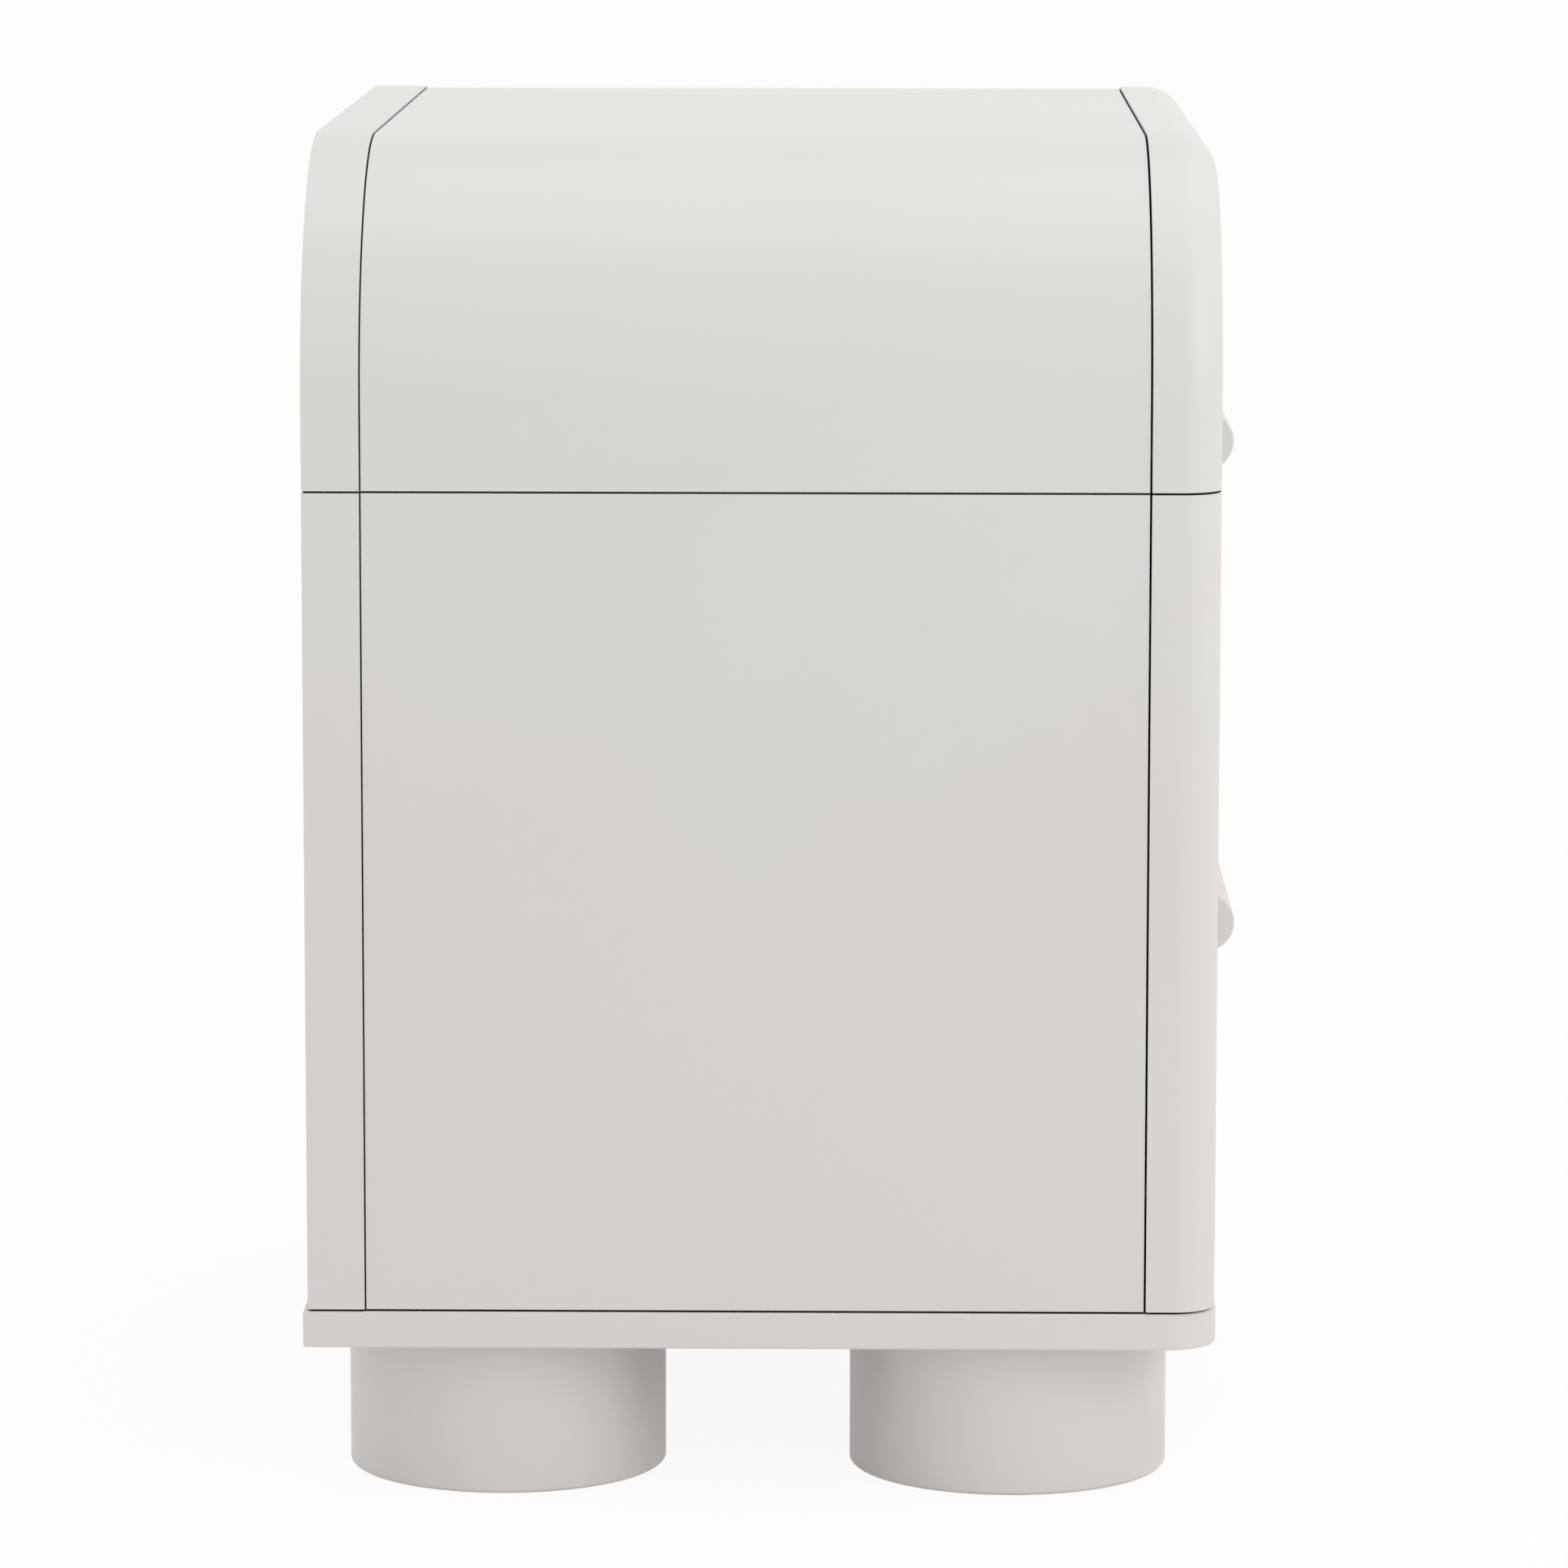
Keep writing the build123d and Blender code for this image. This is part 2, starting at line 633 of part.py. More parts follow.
drawers = (
    ("upper", upper_front, upper_box_z, upper_box_height, upper_slide_z, upper_pull_z, upper_pull_length),
    ("lower", lower_front, lower_box_z, lower_box_height, lower_slide_z, lower_pull_z, lower_pull_length),
)
for level, front, box_z, box_height, slide_z, pull_z, pull_length in drawers:
    box_middle_z = box_z + box_height / 2
    front_screw_x = box_inner_half * front_screw_spread
    front_screw_points = [
        (side * front_screw_x, y_box_inner_front, box_z + box_height * level_share)
        for _, side in sides
        for level_share in front_screw_levels
    ]
    front_screw_seats = seats(front_screw_points, (0, -1, 0))
    pull_screw_x = spread(-pull_length / 2, pull_length, pull_length * row_margin)
    pull_screw_y = y_front_joint - wood_screw_head_height
    pull_screw_points = [(x, pull_screw_y, pull_z - pull_screw_drop) for x in pull_screw_x]
    pull_screw_seats = seats(pull_screw_points, (0, -1, 0))
    front_screw_length = box_board + front_screw_reach
    pull_screw_length = front_thickness - wood_screw_head_height + pull_screw_reach

    # drawer front, drilled for the screws of the box and of the pull
    with front:
        drill(front_screw_seats, wood_screw_radius, front_screw_length + drill_room)
        sink(pull_screw_seats, wood_screw_head_radius, wood_screw_head_height)
        drill(pull_screw_seats, wood_screw_radius, pull_screw_length)
    save(front, f"{level}_drawer_front")

    # pull, with a stopped finger cove along its underside
    with BuildPart() as pull:
        with BuildSketch(Plane.YZ.offset(-pull_length / 2)):
            with Locations((y_face + pull_sink, pull_z)):
                Circle(pull_radius)
            with Locations((y_face + pull_radius, pull_z)):
                Rectangle(2 * pull_radius, 2 * pull_radius, mode=Mode.SUBTRACT)
        extrude(amount=pull_length)
        fillet(pull.faces().filter_by(Axis.X).edges().filter_by(GeomType.CIRCLE), arris)
        with BuildSketch(Plane.YZ.offset(cove_end - pull_length / 2)):
            with Locations((y_face - cove_offset, pull_z - pull_half_chord)):
                Circle(cove_radius)
        extrude(amount=pull_length - 2 * cove_end, mode=Mode.SUBTRACT)
        drill(pull_screw_seats, wood_screw_radius, pull_screw_length + drill_room)
    save(pull, f"{level}_pull")

    # box sides, cut at both ends for the dovetail pins
    for name, side in sides:
        with BuildPart() as box_side:
            with BuildSketch(Plane.YZ.offset(side * box_inner_half)):
                with Locations((y_box_middle, box_middle_z)):
                    Rectangle(box_depth, box_height)
                for outline in pin_outlines(box_z, box_height, y_front_joint, y_box_inner_front):
                    Polygon(*outline, align=None, mode=Mode.SUBTRACT)
                for outline in pin_outlines(box_z, box_height, y_box_back, y_box_inner_back):
                    Polygon(*outline, align=None, mode=Mode.SUBTRACT)
            extrude(amount=side * box_board)
            with BuildSketch(Plane.YZ.offset(side * box_inner_half)):
                with Locations((y_box_middle, box_z + bottom_lift + thin_board / 2)):
                    Rectangle(
                        box_depth - 2 * (box_board - groove_depth),
                        thin_board + 2 * groove_clearance,
                    )
            extrude(amount=side * groove_depth, mode=Mode.SUBTRACT)
            drill(box_seats(side, slide_z), slide_screw_radius, slide_box_reach + drill_room)
        save(box_side, f"{level}_box_{name}_side")

    # box front and back, with the pins on their ends
    for name, y_end, y_line in (
        ("front", y_front_joint, y_box_inner_front),
        ("back", y_box_back, y_box_inner_back),
    ):
        with BuildPart() as box_end:
            with BuildSketch(Plane.XZ.offset(-max(y_end, y_line))):
                with Locations((0, box_middle_z)):
                    Rectangle(2 * box_inner_half, box_height)
            extrude(amount=box_board)
            for _, side in sides:
                with BuildSketch(Plane.YZ.offset(side * box_inner_half)):
                    for outline in pin_outlines(box_z, box_height, y_end, y_line):
                        Polygon(*outline, align=None)
                extrude(amount=side * box_board)
            with BuildSketch(Plane.XZ.offset(-y_line)):
                with Locations((0, box_z + bottom_lift + thin_board / 2)):
                    Rectangle(
                        2 * (box_inner_half + groove_depth),
                        thin_board + 2 * groove_clearance,
                    )
            inwards = 1 if y_end < y_line else -1
            extrude(amount=inwards * groove_depth, mode=Mode.SUBTRACT)
            if name == "front":
                drill(front_screw_seats, wood_screw_radius, box_board)
        save(box_end, f"{level}_box_{name}")

    # bottom, held in the grooves on all four sides
    bottom_reach = groove_depth - groove_clearance
    with BuildPart() as box_bottom:
        with BuildSketch(Plane.XY.offset(box_z + bottom_lift)):
            with Locations((0, y_box_middle)):
                Rectangle(
                    2 * (box_inner_half + bottom_reach),
                    box_depth - 2 * (box_board - bottom_reach),
                )
        extrude(amount=thin_board)
    save(box_bottom, f"{level}_box_bottom")

    fasteners(
        f"{level}_front_screws",
        front_screw_seats,
        wood_screw_head_radius,
        wood_screw_head_height,
        wood_screw_radius,
        front_screw_length,
    )
    fasteners(
        f"{level}_pull_screws",
        pull_screw_seats,
        wood_screw_head_radius,
        wood_screw_head_height,
        wood_screw_radius,
        pull_screw_length,
    )
    fasteners(
        f"{level}_slide_screws",
        box_seats(-1, slide_z) + box_seats(1, slide_z),
        slide_screw_head_radius,
        slide_gauge,
        slide_screw_radius,
        slide_box_reach,
    )
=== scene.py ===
import json
import math

import bmesh
import bpy
from mathutils import Matrix, Vector

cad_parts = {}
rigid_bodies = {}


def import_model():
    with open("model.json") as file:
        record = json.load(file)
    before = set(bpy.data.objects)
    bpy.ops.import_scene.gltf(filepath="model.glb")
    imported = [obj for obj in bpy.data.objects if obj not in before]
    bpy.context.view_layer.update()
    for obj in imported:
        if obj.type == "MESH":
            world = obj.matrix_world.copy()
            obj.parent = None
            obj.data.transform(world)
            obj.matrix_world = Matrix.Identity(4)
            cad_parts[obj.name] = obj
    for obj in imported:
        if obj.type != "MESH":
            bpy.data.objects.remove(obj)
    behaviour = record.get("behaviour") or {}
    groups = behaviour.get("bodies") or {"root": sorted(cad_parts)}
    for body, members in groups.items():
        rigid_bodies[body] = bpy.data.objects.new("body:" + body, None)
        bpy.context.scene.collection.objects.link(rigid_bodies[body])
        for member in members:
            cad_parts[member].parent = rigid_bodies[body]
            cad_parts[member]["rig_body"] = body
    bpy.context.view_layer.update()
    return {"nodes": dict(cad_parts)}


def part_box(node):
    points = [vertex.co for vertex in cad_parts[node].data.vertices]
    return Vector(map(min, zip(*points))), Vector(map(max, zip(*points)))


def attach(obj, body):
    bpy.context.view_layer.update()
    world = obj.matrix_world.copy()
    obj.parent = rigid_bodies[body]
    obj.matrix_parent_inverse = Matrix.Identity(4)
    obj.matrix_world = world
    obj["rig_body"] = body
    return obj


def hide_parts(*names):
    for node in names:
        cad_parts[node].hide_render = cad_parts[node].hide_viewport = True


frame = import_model()
nodes = frame["nodes"]
scene = bpy.context.scene
mm = 0.001
noiseSpan = (0.3, 0.7)  # levels that hold nearly all of a noise


def hexColor(code):  # sRGB hex to linear light
    parts = [int(code[i : i + 2], 16) / 255 for i in (1, 3, 5)]
    return [p / 12.92 if p <= 0.04045 else ((p + 0.055) / 1.055) ** 2.4 for p in parts] + [1.0]


def addNode(tree, kind, settings, inputs):  # a socket among the inputs is linked, a value is set
    node = tree.nodes.new(kind)
    for name, value in settings.items():
        setattr(node, name, value)
    for socket, value in inputs.items():
        if isinstance(value, bpy.types.NodeSocket):
            tree.links.new(value, node.inputs[socket])
        else:
            node.inputs[socket].default_value = value
    return node


def startFinish(name):
    material = bpy.data.materials.new(name)
    material.use_nodes = True
    tree = material.node_tree
    place = addNode(tree, "ShaderNodeTexCoord", {}, {}).outputs["Object"]  # travels with the piece
    return material, tree, tree.nodes["Principled BSDF"], place


# MDF sprayed with satin lacquer: a soft white, with broad highlights and a faint orange peel;
# painted into its colour are a warm tint of bounce light, a little warmer towards the floor, and a
# near black painted shade in the gaps where no light gets in
lacquerLook = {
    "cool": "#DAD9D5",
    "warm": "#DAD5D2",
    "gapShade": "#12110F",
    "cloudSize": 240 * mm,  # drift of the tint over a board
    "cloudPick": 22.47,  # which run of clouds the spray left
    "cloudSpan": (0.38, 0.62),  # noise levels between which the tint changes
    "bounceTintHeight": 400 * mm,  # middle of the painted bounce tint's change above the floor
    "bounceTintReach": 1250 * mm,
    "peelSize": 2.6 * mm,
    "peelDepth": 0.012 * mm,
    "dustSize": 0.9 * mm,  # overspray grain, drawn coarser than the real 0.1 mm so that it shows
    "gapReach": 3 * mm,
    "gapLight": (0.18, 0.5),  # open shares at which the painted shade is full black, and gone
    "roughness": (0.36, 0.46),
    "ior": 1.5,
}
footLook = {**lacquerLook, "gapShade": "#C4BFBB"}  # a paler painted shade, as the feet meet no gap, only the floor


def lacquerWithPaintedLight(name, look):
    material, tree, shader, place = startFinish(name)
    cloud = addNode(
        tree,
        "ShaderNodeTexNoise",
        {"noise_dimensions": "4D"},
        {
            "Vector": place,
            "W": look["cloudPick"],
            "Scale": 1 / look["cloudSize"],
            "Detail": 3,
            "Roughness": 0.45,
        },
    )
    # painted light: a warm tint of floor bounce, added to the random clouds, grows towards the
    # floor
    height = addNode(tree, "ShaderNodeSeparateXYZ", {}, {"Vector": place}).outputs["Z"]
    floorBounceTint = addNode(
        tree,
        "ShaderNodeMapRange",
        {"clamp": False},
        {
            "Value": height,
            "From Min": look["bounceTintHeight"],
            "From Max": look["bounceTintHeight"] - look["bounceTintReach"],
        },
    )
    cloudAndBounceTint = addNode(
        tree,
        "ShaderNodeMath",
        {"operation": "ADD"},
        {0: cloud.outputs["Fac"], 1: floorBounceTint.outputs["Result"]},
    )
    drift = addNode(
        tree,
        "ShaderNodeMapRange",
        {"interpolation_type": "SMOOTHSTEP"},
        {
            "Value": cloudAndBounceTint.outputs["Value"],
            "From Min": look["cloudSpan"][0],
            "From Max": look["cloudSpan"][1],
        },
    )
    tint = addNode(
        tree,
        "ShaderNodeMix",
        {"data_type": "RGBA"},
        {0: drift.outputs["Result"], 6: hexColor(look["cool"]), 7: hexColor(look["warm"])},
    )
    # painted shade: ambient occlusion within gapReach turns the colour towards gapShade in gaps and
    # corners
    gap = addNode(
        tree, "ShaderNodeAmbientOcclusion", {"samples": 8}, {"Distance": look["gapReach"]}
    )
    light = addNode(
        tree,
        "ShaderNodeMapRange",
        {"interpolation_type": "SMOOTHSTEP"},
        {
            "Value": gap.outputs["AO"],
            "From Min": look["gapLight"][0],
            "From Max": look["gapLight"][1],
        },
    )
    # the lacquer's tint with the painted shade mixed in
    paint = addNode(
        tree,
        "ShaderNodeMix",
        {"data_type": "RGBA"},
        {0: light.outputs["Result"], 6: hexColor(look["gapShade"]), 7: tint.outputs[2]},
    )
    tree.links.new(paint.outputs[2], shader.inputs["Base Color"])
    dust = addNode(
        tree,
        "ShaderNodeTexNoise",
        {},
        {"Vector": place, "Scale": 1 / look["dustSize"], "Detail": 2},
    )
    satin = addNode(
        tree,
        "ShaderNodeMapRange",
        {},
        {
            "Value": dust.outputs["Fac"],
            "From Min": noiseSpan[0],
            "From Max": noiseSpan[1],
            "To Min": look["roughness"][0],
            "To Max": look["roughness"][1],
        },
    )
    tree.links.new(satin.outputs["Result"], shader.inputs["Roughness"])
    peel = addNode(
        tree,
        "ShaderNodeTexNoise",
        {},
        {"Vector": place, "Scale": 1 / look["peelSize"], "Detail": 1.5, "Roughness": 0.4},
    )
    bump = addNode(
        tree,
        "ShaderNodeBump",
        {},
        {"Height": peel.outputs["Fac"], "Distance": look["peelDepth"]},
    )
    tree.links.new(bump.outputs["Normal"], shader.inputs["Normal"])
    shader.inputs["IOR"].default_value = look["ior"]
    return material


# Melamine paper pressed on the shelf: matt off-white with a fine pebble from the press plate
melamineLook = {
    "face": "#D6D4CF",
    "fleck": "#CBC8C2",
    "fleckSize": 14 * mm,
    "pebbleSize": 1.1 * mm,  # drawn coarser than the real 0.3 mm
    "pebbleDepth": 0.04 * mm,
    "pebbleStrength": 0.6,
    "roughness": 0.55,
    "ior": 1.52,
}


def pressedMelamine(name, look):
    material, tree, shader, place = startFinish(name)
    fleck = addNode(
        tree,
        "ShaderNodeTexNoise",
        {},
        {"Vector": place, "Scale": 1 / look["fleckSize"], "Detail": 6},
    )
    face = addNode(
        tree,
        "ShaderNodeMix",
        {"data_type": "RGBA"},
        {0: fleck.outputs["Fac"], 6: hexColor(look["face"]), 7: hexColor(look["fleck"])},
    )
    tree.links.new(face.outputs[2], shader.inputs["Base Color"])
    pebble = addNode(
        tree,
        "ShaderNodeTexVoronoi",
        {"feature": "SMOOTH_F1"},
        {"Vector": place, "Scale": 1 / look["pebbleSize"]},
    )
    bump = addNode(
        tree,
        "ShaderNodeBump",
        {"invert": True},
        {
            "Height": pebble.outputs["Distance"],
            "Distance": look["pebbleDepth"],
            "Strength": look["pebbleStrength"],
        },
    )
    tree.links.new(bump.outputs["Normal"], shader.inputs["Normal"])
    shader.inputs["Roughness"].default_value = look["roughness"]
    shader.inputs["IOR"].default_value = look["ior"]
    return material


# Hardboard rolled with matt paint: a touch greyer than the lacquer, with a roller's stipple
# and a few fibres showing through
hardboardLook = {
    "paint": "#D3D0CB",
    "fibre": "#BDB4A6",
    "fibreLength": 9 * mm,
    "fibreWidth": 0.8 * mm,
    "fibreSlant": math.radians(28),
    "fibreSpan": (0.66, 0.78),  # noise levels between which a fibre comes through
    "fibreShow": 0.6,
    "stippleSize": 1.8 * mm,
    "stippleDepth": 0.06 * mm,
    "roughness": 0.7,
    "ior": 1.48,
}


def rolledHardboard(name, look):
    material, tree, shader, place = startFinish(name)
    lay = addNode(
        tree,
        "ShaderNodeMapping",
        {},
        {
            "Vector": place,
            "Rotation": (0, look["fibreSlant"], 0),
            "Scale": (1 / look["fibreLength"], 1 / look["fibreWidth"], 1 / look["fibreWidth"]),
        },
    )
    strands = addNode(
        tree, "ShaderNodeTexNoise", {}, {"Vector": lay.outputs["Vector"], "Scale": 1, "Detail": 3}
    )
    show = addNode(
        tree,
        "ShaderNodeMapRange",
        {},
        {
            "Value": strands.outputs["Fac"],
            "From Min": look["fibreSpan"][0],
            "From Max": look["fibreSpan"][1],
            "To Max": look["fibreShow"],
        },
    )
    paint = addNode(
        tree,
        "ShaderNodeMix",
        {"data_type": "RGBA"},
        {0: show.outputs["Result"], 6: hexColor(look["paint"]), 7: hexColor(look["fibre"])},
    )
    tree.links.new(paint.outputs[2], shader.inputs["Base Color"])
    stipple = addNode(
        tree,
        "ShaderNodeTexNoise",
        {},
        {"Vector": place, "Scale": 1 / look["stippleSize"], "Detail": 2},
    )
    bump = addNode(
        tree,
        "ShaderNodeBump",
        {},
        {"Height": stipple.outputs["Fac"], "Distance": look["stippleDepth"]},
    )
    tree.links.new(bump.outputs["Normal"], shader.inputs["Normal"])
    shader.inputs["Roughness"].default_value = look["roughness"]
    shader.inputs["IOR"].default_value = look["ior"]
    return material


# Birch plywood, clear lacquered: pale honey faces with long faint figure and fine pores, and
# edges that show the plies as light and dark lines
birchLook = {
    "pale": "#E0CCA9",
    "honey": "#CFB084",
    "pore": "#A98659",
    "plyLight": "#DCC7A2",
    "plyDark": "#B3926A",
    "figureLength": 260 * mm,
    "figureWidth": 15 * mm,
    "figureSpan": (0.38, 0.64),  # noise levels from pale to honey
    "poreLength": 30 * mm,
    "poreWidth": 1.2 * mm,  # drawn coarser than the real 0.2 mm
    "poreSpan": (0.52, 0.7),
    "poreShow": 0.5,
    "poreDepth": 0.03 * mm,
    "poreStrength": 0.7,
    "plyThickness": 2.4 * mm,  # drawn coarser than the real 1.4 mm
    "plySpan": (0.35, 0.65),  # shares of a ply, from light to dark
    "faceTilt": 0.7,  # cosine above which a surface is a face and not an edge
    "roughness": 0.42,
    "ior": 1.5,
}


def birchPlywood(name, look, through, along):  # axes through the board and along its grain
    material, tree, shader, place = startFinish(name)
    layouts = {}
    for pattern in ("figure", "pore"):
        scale = [1 / look[pattern + "Width"]] * 3
        scale[along] = 1 / look[pattern + "Length"]
        layouts[pattern] = addNode(tree, "ShaderNodeMapping", {}, {"Vector": place, "Scale": scale})
    figure = addNode(
        tree,
        "ShaderNodeTexNoise",
        {},
        {"Vector": layouts["figure"].outputs["Vector"], "Scale": 1, "Detail": 4, "Distortion": 0.6},
    )
    bands = addNode(
        tree,
        "ShaderNodeMapRange",
        {"interpolation_type": "SMOOTHSTEP"},
        {
            "Value": figure.outputs["Fac"],
            "From Min": look["figureSpan"][0],
            "From Max": look["figureSpan"][1],
        },
    )
    wood = addNode(
        tree,
        "ShaderNodeMix",
        {"data_type": "RGBA"},
        {0: bands.outputs["Result"], 6: hexColor(look["pale"]), 7: hexColor(look["honey"])},
    )
    pores = addNode(
        tree,
        "ShaderNodeTexNoise",
        {},
        {"Vector": layouts["pore"].outputs["Vector"], "Scale": 1, "Detail": 2},
    )
    pits = addNode(
        tree,
        "ShaderNodeMapRange",
        {},
        {
            "Value": pores.outputs["Fac"],
            "From Min": look["poreSpan"][0],
            "From Max": look["poreSpan"][1],
            "To Max": look["poreShow"],
        },
    )
    face = addNode(
        tree,
        "ShaderNodeMix",
        {"data_type": "RGBA"},
        {0: pits.outputs["Result"], 6: wood.outputs[2], 7: hexColor(look["pore"])},
    )
    axis = "XYZ"[through]
    depth = addNode(tree, "ShaderNodeSeparateXYZ", {}, {"Vector": place}).outputs[axis]
    lines = addNode(
        tree, "ShaderNodeMath", {"operation": "PINGPONG"}, {0: depth, 1: look["plyThickness"]}
    )
    plies = addNode(
        tree,
        "ShaderNodeMapRange",
        {"interpolation_type": "SMOOTHSTEP"},
        {
            "Value": lines.outputs["Value"],
            "From Min": look["plySpan"][0] * look["plyThickness"],
            "From Max": look["plySpan"][1] * look["plyThickness"],
        },
    )
    edge = addNode(
        tree,
        "ShaderNodeMix",
        {"data_type": "RGBA"},
        {0: plies.outputs["Result"], 6: hexColor(look["plyLight"]), 7: hexColor(look["plyDark"])},
    )
    facing = addNode(tree, "ShaderNodeTexCoord", {}, {}).outputs["Normal"]
    tilt = addNode(tree, "ShaderNodeSeparateXYZ", {}, {"Vector": facing}).outputs[axis]
    flat = addNode(tree, "ShaderNodeMath", {"operation": "ABSOLUTE"}, {0: tilt})
    onFace = addNode(
        tree,
        "ShaderNodeMath",
        {"operation": "GREATER_THAN"},
        {0: flat.outputs["Value"], 1: look["faceTilt"]},
    )
    whole = addNode(
        tree,
        "ShaderNodeMix",
        {"data_type": "RGBA"},
        {0: onFace.outputs["Value"], 6: edge.outputs[2], 7: face.outputs[2]},
    )
    tree.links.new(whole.outputs[2], shader.inputs["Base Color"])
    bump = addNode(
        tree,
        "ShaderNodeBump",
        {"invert": True},
        {
            "Height": pits.outputs["Result"],
            "Distance": look["poreDepth"],
            "Strength": look["poreStrength"],
        },
    )
    tree.links.new(bump.outputs["Normal"], shader.inputs["Normal"])
    shader.inputs["Roughness"].default_value = look["roughness"]
    shader.inputs["IOR"].default_value = look["ior"]
    return material


# Beech dowel, rolled: tan end grain with dark ray flecks and pressed flutes
dowelLook = {
    "wood": "#C79F77",
    "fleck": "#8F6A47",
    "fleckSize": 1.2 * mm,
    "fluteWidth": 1.4 * mm,
    "fluteDepth": 0.3 * mm,
    "roughness": 0.65,
}


def rolledBeech(name, look):
    material, tree, shader, place = startFinish(name)
    rays = addNode(
        tree,
        "ShaderNodeTexNoise",
        {},
        {"Vector": place, "Scale": 1 / look["fleckSize"], "Detail": 3},
    )
    wood = addNode(
        tree,
        "ShaderNodeMix",
        {"data_type": "RGBA"},
        {0: rays.outputs["Fac"], 6: hexColor(look["wood"]), 7: hexColor(look["fleck"])},
    )
    tree.links.new(wood.outputs[2], shader.inputs["Base Color"])
    flutes = addNode(
        tree,
        "ShaderNodeTexWave",
        {"bands_direction": "Y"},
        {"Vector": place, "Scale": math.pi / 10 / look["fluteWidth"]},  # a wave is pi/10 at scale 1
    )
    bump = addNode(
        tree,
        "ShaderNodeBump",
        {},
        {"Height": flutes.outputs["Fac"], "Distance": look["fluteDepth"]},
    )
    tree.links.new(bump.outputs["Normal"], shader.inputs["Normal"])
    shader.inputs["Roughness"].default_value = look["roughness"]
    return material


# Wool felt, pressed, under the feet and behind the fronts: dark grey, matt, fuzzy, flecked with
# lighter fibres
feltLook = {
    "wool": "#57534F",
    "fibre": "#8A857F",
    "fibreSize": 0.8 * mm,
    "nap": 0.25 * mm,
    "roughness": 0.95,
    "sheen": 0.4,
}


def pressedFelt(name, look):
    material, tree, shader, place = startFinish(name)
    hairs = addNode(
        tree,
        "ShaderNodeTexNoise",
        {},
        {
            "Vector": place,
            "Scale": 1 / look["fibreSize"],
            "Detail": 6,
            "Roughness": 0.7,
            "Distortion": 1.5,
        },
    )
    wool = addNode(
        tree,
        "ShaderNodeMix",
        {"data_type": "RGBA"},
        {0: hairs.outputs["Fac"], 6: hexColor(look["wool"]), 7: hexColor(look["fibre"])},
    )
    tree.links.new(wool.outputs[2], shader.inputs["Base Color"])
    bump = addNode(
        tree, "ShaderNodeBump", {}, {"Height": hairs.outputs["Fac"], "Distance": look["nap"]}
    )
    tree.links.new(bump.outputs["Normal"], shader.inputs["Normal"])
    shader.inputs["Roughness"].default_value = look["roughness"]
    shader.inputs["Sheen Weight"].default_value = look["sheen"]
    return material


# Zinc-plated steel, rolled or turned: bright bluish grey metal, streaked along the rolling
# direction, with cloudy patches from the plating bath
slideLook = {
    "zinc": "#C6CACD",
    "bath": "#B4B6B0",
    "bathSize": 35 * mm,
    "streakLength": 180 * mm,
    "streakWidth": 1.3 * mm,
    "streakDepth": 0.01 * mm,
    "streakStrength": 0.5,
    "roughness": (0.24, 0.42),
}
cageLook = {**slideLook, "zinc": "#9FA1A2", "bath": "#8B8A86", "roughness": (0.32, 0.5)}
screwLook = {
    **slideLook,
    "zinc": "#BFC0BC",
    "bath": "#A9A28D",
    "bathSize": 5 * mm,
    "streakLength": 4 * mm,
    "streakWidth": 0.5 * mm,
    "roughness": (0.26, 0.4),
}


def zincPlate(name, look):
    material, tree, shader, place = startFinish(name)
    bath = addNode(
        tree,
        "ShaderNodeTexNoise",
        {},
        {"Vector": place, "Scale": 1 / look["bathSize"], "Detail": 3},
    )
    metal = addNode(
        tree,
        "ShaderNodeMix",
        {"data_type": "RGBA"},
        {0: bath.outputs["Fac"], 6: hexColor(look["zinc"]), 7: hexColor(look["bath"])},
    )
    tree.links.new(metal.outputs[2], shader.inputs["Base Color"])
    width = 1 / look["streakWidth"]
    roll = addNode(
        tree,
        "ShaderNodeMapping",
        {},
        {"Vector": place, "Scale": (width, 1 / look["streakLength"], width)},
    )
    streaks = addNode(
        tree, "ShaderNodeTexNoise", {}, {"Vector": roll.outputs["Vector"], "Scale": 1, "Detail": 4}
    )
    worn = addNode(
        tree,
        "ShaderNodeMapRange",
        {},
        {
            "Value": streaks.outputs["Fac"],
            "From Min": noiseSpan[0],
            "From Max": noiseSpan[1],
            "To Min": look["roughness"][0],
            "To Max": look["roughness"][1],
        },
    )
    tree.links.new(worn.outputs["Result"], shader.inputs["Roughness"])
    bump = addNode(
        tree,
        "ShaderNodeBump",
        {},
        {
            "Height": streaks.outputs["Fac"],
            "Distance": look["streakDepth"],
            "Strength": look["streakStrength"],
        },
    )
    tree.links.new(bump.outputs["Normal"], shader.inputs["Normal"])
    shader.inputs["Metallic"].default_value = 1.0
    return material


lacquer = lacquerWithPaintedLight("satin lacquer sprayed on MDF with painted light", lacquerLook)
finishes = {
    "lacquered_board": lacquer,
    "lacquered_front": lacquer,
    "lacquered_pull": lacquer,
    "lacquered_foot": lacquerWithPaintedLight("satin lacquer sprayed on turned MDF with painted light", footLook),
    "inner_board": pressedMelamine("melamine pressed on board", melamineLook),
    "back_hardboard": rolledHardboard("hardboard rolled with matt paint", hardboardLook),
    "beech_dowel": rolledBeech("beech dowel rolled with flutes", dowelLook),
    "wool_felt": pressedFelt("wool felt pressed", feltLook),
    "zinc_steel": zincPlate("steel strip zinc plated", slideLook),
    "cage_steel": zincPlate("steel cage stamped", cageLook),
    "screw_steel": zincPlate("screw steel zinc plated", screwLook),
}
boxSide = birchPlywood("birch plywood clear lacquered box side", birchLook, 0, 1)
boxEnd = birchPlywood("birch plywood clear lacquered box end", birchLook, 1, 0)
boxBottom = birchPlywood("birch plywood clear lacquered box bottom", birchLook, 2, 0)
birchBoards = {"side": boxSide, "front": boxEnd, "back": boxEnd, "bottom": boxBottom}
print("finishes mixed:", len({*finishes.values(), *birchBoards.values()}))


